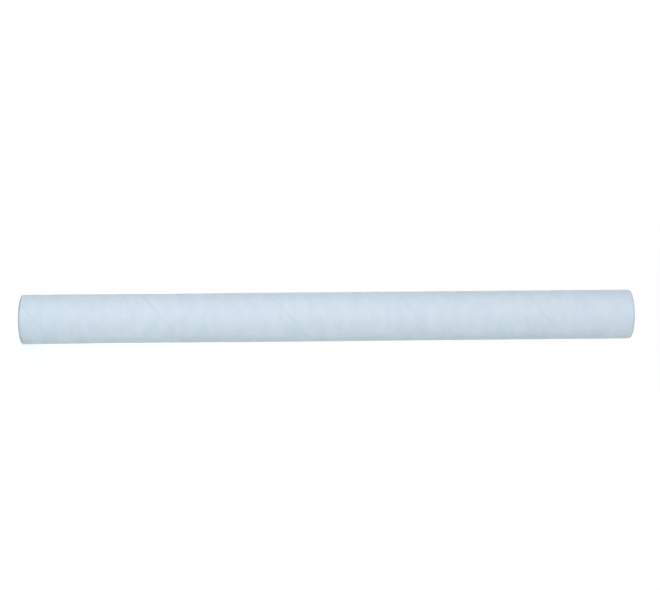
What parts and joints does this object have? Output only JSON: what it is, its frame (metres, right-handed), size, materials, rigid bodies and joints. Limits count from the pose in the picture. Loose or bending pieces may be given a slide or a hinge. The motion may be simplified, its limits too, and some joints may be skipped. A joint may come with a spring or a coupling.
{
  "type": "mailing tube",
  "caption": "Spiral-wound white paper mailing tube, standing on end, with a push-in white plastic plug in each end that pulls off along the tube.",
  "frame": {"origin": "centre of the bottom plug's rim, on the plane that the tube stands on", "axes": "+Z along the tube's axis from the bottom plug to the top plug; -Y is the side that the picture shows"},
  "size_m": [0.053, 0.053, 0.6532],
  "materials": {
    "white_paper": "matte",
    "white_plastic": "satin"
  },
  "bodies": {
    "bottom_cap": {"bottom_cap": "white_plastic"},
    "tube": {"tube": "white_paper"},
    "top_cap": {"top_cap": "white_plastic"}
  },
  "joints": [
    {"name": "bottom_plug_pull", "type": "slide", "parent": "bottom_cap", "child": "tube", "axis": [0, 0, 1], "range_m": [0, 0.04]},
    {"name": "top_plug_pull", "type": "slide", "parent": "tube", "child": "top_cap", "axis": [0, 0, 1], "range_m": [0, 0.04]}
  ]
}
